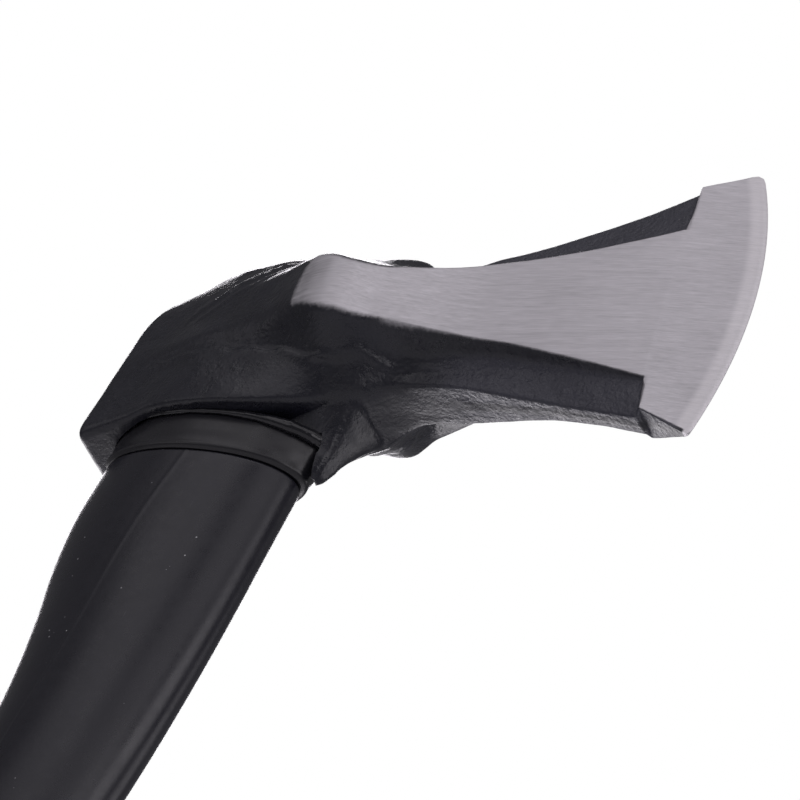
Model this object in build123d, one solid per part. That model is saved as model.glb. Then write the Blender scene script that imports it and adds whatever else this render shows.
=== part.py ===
"""Splitting maul: a forged wedge head on an overmoulded fibreglass handle.

Millimetres.  The origin is the centre of the butt face, +Z runs up the handle,
+X points to the cutting edge, and the object is symmetric about the XZ plane.
"""
import math
import os

from build123d import *

# ---------------------------------------------------------------- handle
COLLAR_Z = 720.0          # lower edge of the collar band above the butt face
COLLAR_H = 13.0           # height of the collar band
COLLAR_A = 32.3           # collar half-length along X
COLLAR_B = 13.5           # collar half-width along Y
CORE_A = 15.0             # fibreglass rod, half-length along X
CORE_B = 8.0              # fibreglass rod, half-width along Y
CORE_BOTTOM = 60.0        # lower end of the rod, above the hang hole
CORE_OVERLAP = 10.0       # the rod's two stretches are joined over this length
GRIP_BOTTOM = 30.0        # rubber sleeve, from the butt cap ...
GRIP_TOP = 240.0          # ... to the step in the jacket
GRIP_WALL = 2.5           # rubber thickness
CAP_STUB_A = 15.0         # plug of the butt cap inside the jacket bore
CAP_STUB_B = 8.0
CAP_CHAMFER = 1.5
HANG_HOLE_Z = 15.0
HANG_HOLE_R = 4.5
SHADOW_GROOVE = 0.8       # chamfer that makes the line under the collar

OVERSTRIKE_LOW = COLLAR_Z - 77   # where the wide section ends and the shaft begins

# Outer form of the handle: height, centre in X, half-length, half-width.
# The rear side steps in below the wide overstrike section, the front stays straight.
SHAFT_SECTIONS = (
    (GRIP_TOP, 0.0, 18.5, 14.5),
    (340.0, 0.0, 18.6, 14.4),
    (460.0, 0.5, 19.2, 14.2),
    (570.0, 3.8, 21.6, 13.6),
    (OVERSTRIKE_LOW, 5.8, 24.7, 13.0),
)
OVERSTRIKE_SECTIONS = (
    (OVERSTRIKE_LOW, 5.8, 24.7, 13.0),
    (COLLAR_Z - 55, 3.8, 27.2, 12.9),
    (COLLAR_Z - 38, 1.6, 29.5, 12.8),
    (COLLAR_Z - 22, 0.1, 30.8, 12.7),
    (COLLAR_Z, 0.0, 31.0, 12.6),
)
GRIP_SECTIONS = (
    (GRIP_BOTTOM, -0.5, 21.5, 16.2),
    (70.0, 0.0, 19.4, 15.3),
    (130.0, 0.0, 19.8, 15.6),
    (190.0, 0.0, 18.8, 15.0),
    (GRIP_TOP, 0.0, 18.5, 14.5),
)
CAP_SECTIONS = (
    (0.0, -1.0, 23.0, 16.5),
    (12.0, -1.0, 24.0, 17.5),
    (GRIP_BOTTOM, -0.5, 21.5, 16.2),
)

# ---------------------------------------------------------------- head
HEAD_TILT = 10.0          # the blade rises this many degrees from square to the handle
HEAD_X = 3.2              # origin of the head's own axes, in the handle's axes
HEAD_Z = COLLAR_Z + 43.5
SEAT_Z = COLLAR_Z + COLLAR_H
EYE_TOP = COLLAR_Z + 70.0
EYE_A = 27.0              # eye half-length at the seat
EYE_B = 11.0              # eye half-width at the seat
EYE_FLARE = 1.6           # the eye opens this much towards the top
EDGE_R = 154.6            # radius of the cutting edge seen from the side
EDGE_X = 136.8            # foremost point of the edge, in the head's axes
EDGE_MID = 5.3            # height of that point
EDGE_HALF = 0.3           # half-thickness left at the edge
BEVEL = 3.5               # width of the micro-bevel
BEVEL_HALF = 1.25         # half-thickness where the micro-bevel starts
BIT_BACK = 25.5           # how far behind the edge the full-height bit reaches
BIT_HALF = 6.0            # half-thickness there
TOE = (129.8, 51.5)       # upper and lower ends of the edge
HEEL = (128.6, -44.8)
STEP_X = 114.4            # the recessed flanks end here in a step
STEP_TOP = 43.6           # upper and lower ends of the step
STEP_BOTTOM = -39.6

# One line per station: x, then half-width and height of the lower rim, of the
# lower valley and of the lower edge of the ground rib, then the same three upwards.
HEAD_SECTIONS = (
    (-53.0, (10.5, -35.0), (11.6, -17.6), (11.9, -6.6), (11.8, 1.5), (11.5, 8.0), (10.5, 12.0)),
    (-34.0, (12.8, -35.0), (13.5, -11.0), (14.3, -5.0), (13.7, 7.0), (13.0, 15.8), (11.2, 22.6)),
    (-22.0, (15.2, -35.0), (15.9, -9.0), (17.1, -5.4), (15.7, 8.1), (14.8, 18.4), (12.4, 27.8)),
    (-9.0, (17.2, -35.0), (18.0, -10.4), (19.7, -6.2), (18.7, 9.4), (16.8, 18.4), (13.4, 27.0)),
    (4.0, (17.8, -37.0), (18.5, -13.3), (22.4, -6.9), (22.2, 10.2), (17.8, 18.9), (14.0, 26.7)),
    (17.0, (17.9, -37.0), (18.5, -16.0), (27.1, -6.8), (27.0, 10.6), (18.5, 18.7), (13.5, 25.4)),
    (28.0, (11.2, -30.0), (17.4, -20.0), (29.0, -10.3), (28.9, 8.0), (17.0, 18.2), (11.8, 24.6)),
    (39.0, (9.0, -25.3), (12.9, -19.5), (23.6, -10.7), (23.7, 8.8), (13.0, 17.0), (9.5, 25.4)),
    (54.0, (7.2, -23.5), (8.8, -15.9), (16.9, -11.6), (16.8, 11.7), (8.9, 15.7), (7.3, 21.3)),
    (72.0, (5.5, -27.1), (7.1, -17.6), (13.0, -15.2), (12.9, 14.6), (7.0, 17.9), (5.7, 26.9)),
    (92.0, (3.1, -32.4), (5.8, -22.0), (10.1, -20.9), (10.0, 19.0), (5.8, 21.9), (3.3, 35.1)),
    (
        STEP_X,
        (2.9, STEP_BOTTOM),
        (5.1, -28.2),
        (6.1, -27.8),
        (6.1, 26.9),
        (5.1, 27.6),
        (2.9, STEP_TOP),
    ),
)

# Chin ahead of the collar and lip behind it: the head wraps the collar's ends.
REAR_FACE_X = -40.5       # poll face, parallel to the handle
CHIN_TOP = (43.6, COLLAR_Z + 30.0)
CHIN_TIP = (36.5, COLLAR_Z + 1.5)
CHIN_HALF_TOP = 10.8
CHIN_HALF_TIP = 3.0
CHIN_ROOT_X = 16.0        # the chin is buried in the head from here
LIP_LOW = COLLAR_Z + 5.3
LIP_FLAT_X = -34.5        # the lip's lower side is level as far forward as this
LIP_FRONT = (-17.5, SEAT_Z + 0.5)
LIP_HALF_REAR = 10.8
LIP_HALF_FRONT = 14.5
COLLAR_GAP = 0.6          # clearance of the chin and the lip around the collar
POLL_ARC_LOW = COLLAR_Z + 47.0   # the poll's top corner is rounded from here ...
POLL_ARC_R = 20.0         # ... with this radius

BEAD = 0.9                # adhesive squeezed out around the top of the collar

EPS = 0.01


def ellipse_face(z, centre_x, half_x, half_y):
    """A horizontal elliptical face."""
    return Plane.XY.offset(z) * Pos(centre_x, 0) * Ellipse(half_x, half_y)


def ellipse_loft(sections, shrink=0.0):
    """A solid through elliptical sections, all made smaller by shrink."""
    faces = [ellipse_face(z, cx, a - shrink, b - shrink) for z, cx, a, b in sections]
    return loft(faces)


def ellipse_bar(low, high, half_x, half_y):
    """A straight bar with an elliptical section centred on the handle axis."""
    return extrude(ellipse_face(low, 0, half_x, half_y), high - low)


def head_axes():
    """Placement of the head's own axes."""
    return Location((HEAD_X, 0, HEAD_Z), (0, -HEAD_TILT, 0))


def head_section(station):
    """The closed twelve-sided section of the head at one station."""
    x = station[0]
    near = [(-half, height) for half, height in station[1:]]
    far = [(-y, z) for y, z in reversed(near)]
    points = [Vector(x, y, z) for y, z in near + far]
    return Face(Wire.make_polygon(points, close=True))


def head_body():
    """Poll, cheeks, wings, ground rib and recessed flanks in the head's axes."""
    rear = HEAD_SECTIONS[:7]
    front = HEAD_SECTIONS[6:]
    return loft([head_section(s) for s in rear], ruled=True) + loft(
        [head_section(s) for s in front], ruled=True
    )


def bit():
    """The full-height ground bit: a wedge turned about the edge's centre of curvature."""
    centre_x = EDGE_X - EDGE_R
    inner = EDGE_R - BIT_BACK
    profile = Polyline(
        (inner, -BIT_HALF),
        (EDGE_R - BEVEL, -BEVEL_HALF),
        (EDGE_R, -EDGE_HALF),
        (EDGE_R, EDGE_HALF),
        (EDGE_R - BEVEL, BEVEL_HALF),
        (inner, BIT_HALF),
        close=True,
    )
    half_turn = 30
    ring = revolve(make_face(profile), Axis.Y, 2 * half_turn)
    ring = Pos(centre_x, 0, EDGE_MID) * Rot(0, -half_turn, 0) * ring
    ahead = EDGE_X + 2
    behind = STEP_X - 6
    side = make_face(
        Polyline(
            (behind, STEP_TOP - 20),
            (STEP_X, STEP_TOP),
            TOE,
            (ahead, TOE[1]),
            (ahead, HEEL[1]),
            HEEL,
            (STEP_X, STEP_BOTTOM),
            (behind, STEP_BOTTOM + 18),
            close=True,
        )
    )
    side = Plane.XZ * side
    return ring & extrude(side, 2 * BIT_HALF, both=True)


def slab_face(z, rear, front, half_rear, half_front):
    """A horizontal four-sided face, symmetric about the XZ plane."""
    outline = Polyline(
        (rear, -half_rear),
        (front, -half_front),
        (front, half_front),
        (rear, half_rear),
        close=True,
    )
    return Plane.XY.offset(z) * make_face(outline)


def chin():
    """The tapered tongue that hangs from the head in front of the collar."""
    low = slab_face(CHIN_TIP[1], CHIN_ROOT_X, CHIN_TIP[0], CHIN_HALF_TIP, CHIN_HALF_TIP)
    high = slab_face(CHIN_TOP[1], CHIN_ROOT_X, CHIN_TOP[0], CHIN_HALF_TOP, CHIN_HALF_TOP)
    return loft([low, high])


def lip():
    """The lip behind the collar, rising to the seat on its way forward."""
    top = SEAT_Z + 3
    rear_x = REAR_FACE_X
    slab = extrude(
        slab_face(LIP_LOW, rear_x, LIP_FRONT[0], LIP_HALF_REAR, LIP_HALF_FRONT), top - LIP_LOW
    )
    slope = make_face(
        Polyline(
            (rear_x - 1, LIP_LOW),
            (LIP_FLAT_X, LIP_LOW),
            LIP_FRONT,
            (LIP_FRONT[0] + 5, top + 2),
            (rear_x - 1, top + 2),
            close=True,
        )
    )
    return slab & extrude(Plane.XZ * slope, LIP_HALF_FRONT + 1, both=True)


def eye_cutter():
    """The tapered oval eye, straight through the head along the handle."""
    top = EYE_TOP + 5
    return loft(
        [
            ellipse_face(SEAT_Z, 0, EYE_A, EYE_B),
            ellipse_face(top, 0, EYE_A + EYE_FLARE, EYE_B + EYE_FLARE),
        ]
    )


def side_trim():
    """The head's outline seen from the side: poll face, rounded top corner and eye top."""
    rear = REAR_FACE_X
    low = POLL_ARC_LOW
    arc_mid = (rear + POLL_ARC_R * (1 - math.sqrt(0.5)), low + POLL_ARC_R * math.sqrt(0.5))
    arc_end = (rear + POLL_ARC_R, low + POLL_ARC_R)
    corner = ThreePointArc((rear, low), arc_mid, arc_end)
    rest = Polyline(
        arc_end,
        (30, EYE_TOP + 4),
        (75, EYE_TOP + 80),
        (150, EYE_TOP + 80),
        (150, SEAT_Z),
        (rear, SEAT_Z),
        (rear, low),
    )
    outline = make_face(corner + rest)
    return extrude(Plane.XZ * outline, 40, both=True)


def head_envelope():
    """The head without its eye, chin and lip."""
    return head_axes() * (head_body() + bit()) & side_trim()


def maul_head():
    """The forged head."""
    collar_space = ellipse_bar(COLLAR_Z - 5, SEAT_Z, COLLAR_A + COLLAR_GAP, COLLAR_B + COLLAR_GAP)
    head = head_envelope() + chin() + lip()
    return head - collar_space - eye_cutter()


def fibreglass_core():
    """The pultruded rod that carries the load from the butt through the eye."""
    lower = ellipse_bar(CORE_BOTTOM, SEAT_Z + CORE_OVERLAP, CORE_A, CORE_B)
    upper = ellipse_bar(SEAT_Z, EYE_TOP + CORE_OVERLAP, CORE_A, CORE_B) & head_envelope()
    return lower + upper


def eye_epoxy():
    """The potting resin that fills the eye around the rod, level with the head's top."""
    filled = eye_cutter() & head_envelope()
    return filled - ellipse_bar(SEAT_Z - 2, EYE_TOP + CORE_OVERLAP, CORE_A, CORE_B)


def collar_band():
    """The moulded band between the head and the handle jacket."""
    band = ellipse_bar(COLLAR_Z, SEAT_Z, COLLAR_A, COLLAR_B)
    band = chamfer(band.edges().group_by(Axis.Z)[0], SHADOW_GROOVE)
    return band - ellipse_bar(COLLAR_Z - 1, SEAT_Z + 1, CORE_A, CORE_B)


def adhesive_bead():
    """The rim of adhesive squeezed out where the collar meets the head."""
    low = SEAT_Z - BEAD - 1.0
    gap = COLLAR_GAP - EPS
    ring = ellipse_bar(low, SEAT_Z, COLLAR_A + gap, COLLAR_B + gap)
    return ring - ellipse_bar(low - 1, SEAT_Z + 1, COLLAR_A, COLLAR_B)


def handle_jacket():
    """The overmoulded plastic jacket, stepped down under the rubber sleeve."""
    shoulder = ellipse_loft(OVERSTRIKE_SECTIONS)
    shoulder = chamfer(shoulder.edges().group_by(Axis.Z)[-1], SHADOW_GROOVE)
    shaft = ellipse_loft(SHAFT_SECTIONS)
    neck = ellipse_loft(GRIP_SECTIONS, shrink=GRIP_WALL)
    bore = ellipse_bar(GRIP_BOTTOM - 1, COLLAR_Z + 1, CORE_A, CORE_B)
    return shoulder + shaft + neck - bore


def grip_sleeve():
    """The rubber sleeve over the stepped lower end of the jacket."""
    return ellipse_loft(GRIP_SECTIONS) - ellipse_loft(GRIP_SECTIONS, shrink=GRIP_WALL)


def butt_cap():
    """The flared end cap with its plug and the hole for hanging the tool up."""
    cap = ellipse_loft(CAP_SECTIONS)
    cap = chamfer(cap.edges().group_by(Axis.Z)[0], CAP_CHAMFER)
    plug = ellipse_bar(GRIP_BOTTOM - 1, CORE_BOTTOM - 2, CAP_STUB_A, CAP_STUB_B)
    hole = Pos(0, 0, HANG_HOLE_Z) * Rot(90, 0, 0) * Cylinder(HANG_HOLE_R, 60)
    return cap + plug - hole


def main():
    """Write one STEP file for each piece."""
    os.makedirs("parts", exist_ok=True)
    pieces = {
        "maul_head": maul_head(),
        "fibreglass_core": fibreglass_core(),
        "eye_epoxy": eye_epoxy(),
        "collar_band": collar_band(),
        "adhesive_bead": adhesive_bead(),
        "handle_jacket": handle_jacket(),
        "grip_sleeve": grip_sleeve(),
        "butt_cap": butt_cap(),
    }
    for name, shape in pieces.items():
        export_step(shape, f"parts/{name}.step")


main()
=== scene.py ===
"""Splitting maul: the detailed visual model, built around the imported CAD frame.

Metres, in the frame's axes: +Z up the handle, +X towards the cutting edge.  Tables
are in millimetres; the head's tables are in the head's own axes, which are tilted
about Y so that the blade rises away from square to the handle.
"""

import math

import bmesh
import bpy
import numpy as np
from mathutils import Matrix, Vector, noise


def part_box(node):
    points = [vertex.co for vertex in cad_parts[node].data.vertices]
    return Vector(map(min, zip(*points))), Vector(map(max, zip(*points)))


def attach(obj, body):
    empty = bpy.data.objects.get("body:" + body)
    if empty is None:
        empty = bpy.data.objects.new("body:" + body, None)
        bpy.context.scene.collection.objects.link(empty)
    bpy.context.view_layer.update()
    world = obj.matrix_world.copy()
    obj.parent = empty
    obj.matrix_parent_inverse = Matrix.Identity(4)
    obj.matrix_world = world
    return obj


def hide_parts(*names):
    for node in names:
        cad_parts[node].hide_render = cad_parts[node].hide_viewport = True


MM = 0.001

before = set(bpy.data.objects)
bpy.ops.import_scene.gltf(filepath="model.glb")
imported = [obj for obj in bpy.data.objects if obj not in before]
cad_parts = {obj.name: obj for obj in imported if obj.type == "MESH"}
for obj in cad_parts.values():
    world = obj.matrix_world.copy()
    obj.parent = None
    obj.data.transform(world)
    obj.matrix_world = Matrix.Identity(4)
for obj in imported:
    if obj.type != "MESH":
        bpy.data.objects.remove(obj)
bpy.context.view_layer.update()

# --- places
collar_low, collar_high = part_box("collar_band")
cap_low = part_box("butt_cap")[0]
COLLAR_Z = collar_low.z / MM  # the collar's lower edge
SEAT_Z = collar_high.z / MM  # its upper edge, against the head
COLLAR_A = collar_high.x / MM  # its half-length
COLLAR_B = collar_high.y / MM  # its half-width

HEAD_TILT = math.radians(9.95)
HEAD_ORIGIN = Vector((3.1, 0.0, COLLAR_Z + 43.4)) * MM
HEAD_MATRIX = Matrix.Translation(HEAD_ORIGIN) @ Matrix.Rotation(-HEAD_TILT, 4, "Y")

# --- head tables
# The section's corners, from its lower rim up to its upper rim: x, half-width, height.
RIM_LOW = (
    (-47.0, 11.0, -30.7), (-38.5, 12.1, -29.2), (-32.5, 13.2, -28.4), (-26.0, 14.7, -27.3),
    (-18.0, 16.3, -28.3), (-10.0, 17.2, -29.3), (2.0, 17.8, -31.2), (8.0, 17.2, -31.6),
    (14.0, 15.6, -30.9), (20.0, 13.5, -29.8), (26.0, 11.6, -28.6), (30.0, 10.8, -28.2),
    (35.0, 10.1, -27.0), (38.5, 9.0, -25.3), (42.0, 8.2, -23.9), (46.0, 7.6, -23.1),
    (50.0, 7.3, -23.1), (60.5, 7.0, -24.6), (71.5, 5.6, -27.0), (82.5, 4.0, -29.7),
    (93.5, 3.0, -32.8), (104.5, 2.8, -36.3), (114.4, 3.2, -39.6),
)
CREASE = (
    (-47.0, 11.9, -11.5), (-36.0, 13.2, -10.4), (-25.7, 15.0, -9.2), (-16.2, 17.4, -8.2),
    (2.2, 18.5, -13.0), (14.9, 18.6, -15.3), (28.3, 17.4, -20.0), (35.4, 15.0, -21.0),
    (39.6, 12.7, -19.3), (44.0, 10.8, -16.9), (55.0, 8.7, -15.9), (66.0, 7.6, -16.6),
    (81.4, 6.4, -19.4), (96.8, 5.6, -23.4), (105.6, 5.2, -25.9), (114.4, 5.0, -28.4),
)
RIB_LOW = (
    (-47.0, 12.2, -4.5), (-36.0, 14.0, -4.8), (-25.7, 16.2, -5.2), (-15.4, 18.6, -5.6),
    (-5.5, 20.2, -6.4), (5.5, 22.7, -7.0), (13.2, 25.6, -6.9), (18.0, 27.5, -7.2),
    (22.0, 28.9, -9.0), (26.0, 29.3, -10.7), (29.0, 29.1, -11.5), (33.0, 27.9, -12.0),
    (36.3, 25.9, -11.9), (40.0, 23.6, -11.9), (45.0, 21.6, -12.2), (50.0, 19.6, -12.5),
    (55.0, 17.6, -12.9), (60.0, 15.9, -13.5), (66.0, 14.2, -14.4), (77.0, 12.2, -16.4),
    (88.0, 10.7, -19.7), (99.0, 8.9, -23.0), (107.8, 7.4, -25.8), (114.4, 6.1, -27.8),
)
RIB_HIGH = (
    (-47.0, 12.0, 6.0), (-36.0, 13.4, 6.8), (-24.0, 15.2, 7.8), (-13.9, 17.6, 9.1),
    (-5.1, 19.8, 9.7), (3.3, 22.0, 10.2), (11.0, 24.4, 10.9), (18.0, 27.3, 10.6),
    (24.0, 28.9, 9.6), (27.4, 29.3, 8.0), (30.0, 28.9, 7.0), (33.0, 27.9, 6.5),
    (36.0, 26.1, 6.6), (40.0, 23.7, 7.2), (45.0, 21.6, 8.3), (50.0, 19.6, 9.2),
    (55.0, 17.6, 10.3), (61.0, 15.6, 11.8), (66.0, 14.2, 13.2), (75.0, 12.6, 14.9),
    (85.0, 11.1, 17.0), (93.5, 9.8, 19.2), (101.2, 8.5, 21.8), (108.2, 7.3, 24.1),
    (114.4, 6.1, 26.6),
)
VALLEY_HIGH = (
    (-47.0, 11.6, 15.0), (-34.0, 13.0, 17.2), (-22.0, 14.7, 18.2), (-8.8, 16.8, 18.6),
    (4.4, 17.8, 18.9), (17.6, 18.5, 18.7), (28.6, 16.9, 18.2), (39.6, 12.8, 17.0),
    (55.0, 8.8, 15.9), (72.6, 7.0, 18.0), (92.4, 5.8, 22.0), (114.4, 5.0, 27.5),
)
RIM_HIGH = (
    (-47.0, 10.0, 20.8), (-40.0, 10.7, 23.6), (-34.0, 11.2, 25.0), (-28.0, 11.8, 25.9),
    (-22.0, 12.4, 26.4), (-15.0, 13.0, 26.6), (-8.6, 13.4, 26.7), (-2.0, 13.8, 26.8),
    (5.0, 14.0, 26.7), (13.0, 13.8, 26.0), (20.0, 13.2, 24.9), (25.0, 12.4, 24.4),
    (30.0, 11.3, 24.7), (34.0, 10.4, 25.6), (37.4, 9.7, 25.8), (41.2, 9.1, 24.6),
    (45.1, 8.2, 21.8), (49.5, 7.7, 20.8), (55.0, 7.2, 21.4), (61.6, 6.8, 23.6),
    (68.2, 6.2, 25.4), (74.1, 5.4, 27.7), (80.3, 4.6, 30.1), (86.4, 3.8, 32.8),
    (92.4, 3.3, 35.3), (99.0, 2.9, 37.7), (105.3, 2.8, 40.1), (111.7, 3.0, 42.6),
    (114.4, 3.2, 43.7),
)
# Radius of each of the six corners: x, then from the lower rim to the upper.
ROUNDING = (
    (-47.0, 3.0, 6.0, 8.0, 8.0, 6.0, 5.0), (-30.0, 2.2, 5.0, 7.0, 5.0, 7.0, 5.0),
    (-15.0, 1.6, 2.0, 6.0, 2.2, 6.0, 3.5), (0.0, 1.5, 1.2, 5.0, 1.6, 6.0, 3.0),
    (14.0, 1.6, 1.2, 4.0, 2.2, 6.0, 3.0), (28.0, 1.8, 1.6, 2.2, 2.6, 6.0, 3.0),
    (45.0, 1.2, 4.0, 1.0, 1.2, 4.0, 2.0), (70.0, 0.9, 4.0, 0.7, 0.8, 4.0, 1.2),
    (100.0, 0.7, 3.0, 0.6, 0.6, 3.0, 0.8), (114.4, 0.6, 0.8, 0.5, 0.5, 0.8, 0.6),
)
# Rear boundary of the head, parallel to the handle and rounded into the top: height, x.
POLL_EDGE = (
    (-36.0, -50.8), (-25.0, -49.0), (-14.0, -46.4), (-5.0, -44.2), (3.0, -42.5), (9.0, -41.2),
    (13.0, -39.6), (16.0, -37.9), (18.5, -35.9), (20.5, -33.9), (22.5, -32.6), (30.0, -32.0),
)
# Half-thickness of the ground faces against the distance behind the edge.
WEDGE = (
    (-4.0, 0.12), (0.0, 0.12), (0.25, 0.34), (1.8, 0.92), (3.6, 1.5), (4.4, 1.72), (10.0, 3.15),
    (16.0, 4.62), (20.9, 5.78), (22.4, 6.1), (29.2, 7.5),
)

EDGE_X = 136.8  # foremost point of the cutting edge
EDGE_Z = 5.3  # height of that point
EDGE_R = 154.6  # the edge's radius seen from the side
STEP_X = 114.4  # the recessed flanks end here ...
STEP_RUN = 1.5  # ... and rise to the ground face over this length
POLL_S = -47.0  # first station
POLL_BEND = -12.0  # the poll's rear face fans out behind this station
POLL_ROUND = 3.0  # rounding of the rear face's outline
BEVEL = 3.6  # width of the honed bevel along the edge
HEEL_Z = -45.0  # lower end of the edge, before rounding
TOE_Z = 51.8  # upper end of the edge, before rounding
HEEL_ROUND = 1.8  # rounding of those two ends
TOE_ROUND = 3.0
BIT_FALL = 0.41  # slope of the bit's lower outline
BIT_RISE = 0.70  # slope of its upper outline
FLAT_END = 112.0  # the ground faces are flat up to here ...
RADIAL_START = 127.0  # ... and follow the edge's curve from here on
BOTTOM_CROWN = 0.15  # the lower and upper faces bulge this much at the middle
TOP_CROWN = 0.5
CORNER_STEPS = (6, 7, 5, 6, 6, 6)
STRAIGHT_STEPS = (5, 12, 12, 22, 10, 6, 5)
CORNER_REACH = 0.46  # most that a corner takes of the straight run beside it


def smooth(rows):
    """A smooth function through rows of (position, value, ...)."""
    table = np.array(rows, float)
    xs = table[:, 0]
    ys = table[:, 1:]
    slopes = np.gradient(ys, xs, axis=0)

    def value(x):
        x = np.asarray(x, float)
        k = np.clip(np.searchsorted(xs, x, side="right") - 1, 0, len(xs) - 2)
        span = xs[k + 1] - xs[k]
        t = np.clip((x - xs[k]) / span, 0.0, 1.0)[..., None]
        span = span[..., None]
        low = (1 + 2 * t) * (1 - t) ** 2 * ys[k] + t * (1 - t) ** 2 * span * slopes[k]
        high = t * t * (3 - 2 * t) * ys[k + 1] - t * t * (1 - t) * span * slopes[k + 1]
        return low + high

    return value


def turns(count):
    """Angles all the way round."""
    return np.linspace(0, 2 * math.pi, count, endpoint=False)


def ease(low, high, x):
    """0 below low, 1 above high, smooth between."""
    t = np.clip((np.asarray(x, float) - low) / (high - low), 0.0, 1.0)
    return t * t * (3 - 2 * t)


rim_low = smooth(RIM_LOW)
crease = smooth(CREASE)
rib_low = smooth(RIB_LOW)
rib_high = smooth(RIB_HIGH)
valley_high = smooth(VALLEY_HIGH)
rim_high = smooth(RIM_HIGH)
rounding = smooth(ROUNDING)
poll_edge = smooth(POLL_EDGE)
wedge = smooth(WEDGE)


def edge_distance(x, z):
    """Distance behind the cutting edge, flat up to the bit and radial near the edge."""
    flat = EDGE_X - x
    radial = EDGE_R - np.hypot(x - (EDGE_X - EDGE_R), z - EDGE_Z)
    share = ease(FLAT_END, RADIAL_START, x)
    return flat + (radial - flat) * share


def ground_half(x, z):
    """Half-thickness of the ground faces."""
    return wedge(edge_distance(x, z))[..., 0]


def bend(start, corner, end, t):
    """A quadratic curve from start to end, drawn towards corner."""
    return (1 - t) ** 2 * start + 2 * t * (1 - t) * corner + t * t * end


def corner_points(before, corner, after, radius, count):
    """A rounded corner as a quadratic curve, for many stations at once."""
    back = before - corner
    ahead = after - corner
    back_length = np.linalg.norm(back, axis=1, keepdims=True)
    ahead_length = np.linalg.norm(ahead, axis=1, keepdims=True)
    room = CORNER_REACH * np.minimum(back_length, ahead_length)
    reach = np.minimum(radius[:, None], room)
    start = corner + back / back_length * reach
    end = corner + ahead / ahead_length * reach
    t = np.linspace(0.0, 1.0, count)[None, :, None]
    return bend(start[:, None], corner[:, None], end[:, None], t)


def half_loop(keys, radii):
    """Points from the bottom centre round one side to the top centre.

    keys: (stations, 8, 2) of half-width and height; radii: (stations, 6).
    """
    bends = []
    for k, steps in enumerate(CORNER_STEPS):
        before, corner, after = keys[:, k], keys[:, k + 1], keys[:, k + 2]
        bends.append(corner_points(before, corner, after, radii[:, k], steps))
    corners = len(bends)
    parts = []
    start = keys[:, 0]
    for k, steps in enumerate(STRAIGHT_STEPS):
        end = bends[k][:, 0] if k < corners else keys[:, -1]
        t = np.linspace(0.0, 1.0, steps + 1)[None, :, None]
        line = start[:, None] * (1 - t) + end[:, None] * t
        parts.append(line[:, :-1] if k < corners else line)
        if k < corners:
            parts.append(bends[k][:, :-1])
            start = bends[k][:, -1]
    return np.concatenate(parts, axis=1)


def head_keys(x):
    """The eight key points of the sections at stations x."""
    keys = np.zeros((len(x), 8, 2))
    keys[:, 1] = rim_low(x)
    keys[:, 2] = crease(x)
    keys[:, 3] = rib_low(x)
    keys[:, 4] = rib_high(x)
    keys[:, 5] = valley_high(x)
    keys[:, 6] = rim_high(x)
    keys[:, 0, 1] = keys[:, 1, 1] - BOTTOM_CROWN
    keys[:, 7, 1] = keys[:, 6, 1] + TOP_CROWN
    return keys


BIT_LOW_START = rim_low(STEP_X)[1] + 1.2  # heights of the bit's outlines at the step
BIT_HIGH_START = rim_high(STEP_X)[1] - 1.0


def bit_low(x):
    """Height of the bit's lower outline."""
    return BIT_LOW_START - BIT_FALL * (x - STEP_X)


def bit_high(x):
    """Height of the bit's upper outline."""
    return BIT_HIGH_START + BIT_RISE * (x - STEP_X)


CREASE_ABOVE = 7.0  # the bit's crease lies this far above its lower outline
VALLEY_BELOW = 9.0  # its valley lies this far below its upper outline


def bit_keys(x):
    """Key points where the section is the full-height wedge."""
    keys = head_keys(np.full(len(x), STEP_X))
    low = bit_low(x)
    high = bit_high(x)
    crease_z = low + CREASE_ABOVE
    valley_z = high - VALLEY_BELOW
    heights = (low, crease_z, keys[:, 3, 1], keys[:, 4, 1], valley_z, high)
    for k, height in enumerate(heights, 1):
        keys[:, k, 1] = height
        keys[:, k, 0] = ground_half(x, height)
    keys[:, 0, 1] = low
    keys[:, 7, 1] = high
    return keys


ARC_POINTS = 80
HEEL_POINTS = 9
TOE_POINTS = 13


def edge_path():
    """The bit's outline from the heel round the arc to the toe, with both ends rounded."""
    centre = np.array([EDGE_X - EDGE_R, EDGE_Z])

    def on_arc(z):
        return np.array([centre[0] + math.sqrt(EDGE_R ** 2 - (z - EDGE_Z) ** 2), z])

    heel_corner = on_arc(HEEL_Z)
    toe_corner = on_arc(TOE_Z)
    heel_low = heel_corner + np.array([-HEEL_ROUND, BIT_FALL * HEEL_ROUND])
    toe_high = toe_corner + np.array([-TOE_ROUND, -BIT_RISE * TOE_ROUND])
    arc_low = heel_corner[1] + HEEL_ROUND
    arc_high = toe_corner[1] - TOE_ROUND
    arc = np.array([on_arc(z) for z in np.linspace(arc_low, arc_high, ARC_POINTS)])
    heel = bend(heel_low, heel_corner, arc[0], np.linspace(0.0, 1.0, HEEL_POINTS)[:, None])
    toe = bend(arc[-1], toe_corner, toe_high, np.linspace(0.0, 1.0, TOE_POINTS)[:, None])
    return np.concatenate([heel[:-1], arc, toe[1:]])


def along(path, share):
    """Points at the given shares of a path's length."""
    steps = np.linalg.norm(np.diff(path, axis=0), axis=1)
    run = np.concatenate([[0.0], np.cumsum(steps)])
    run /= run[-1]
    return np.stack([np.interp(share, run, path[:, k]) for k in range(path.shape[1])], axis=-1)


# Spacing of the body's stations: from x, to x, step.  The wings have the closest.
STATIONS = (
    (POLL_S, 14.0, 0.62),
    (14.0, 46.0, 0.45),
    (46.0, STEP_X - 0.2, 0.6),
)
STEP_SHARES = (0.2, 0.4, 0.6, 0.8)
STEP_CORNER = 0.9  # corner radii beyond the step, against those before it
FLAT_RISE = 0.5  # where the step is lower than this it rises evenly
FACE_RINGS = 26
BEVEL_RINGS = 9


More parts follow.
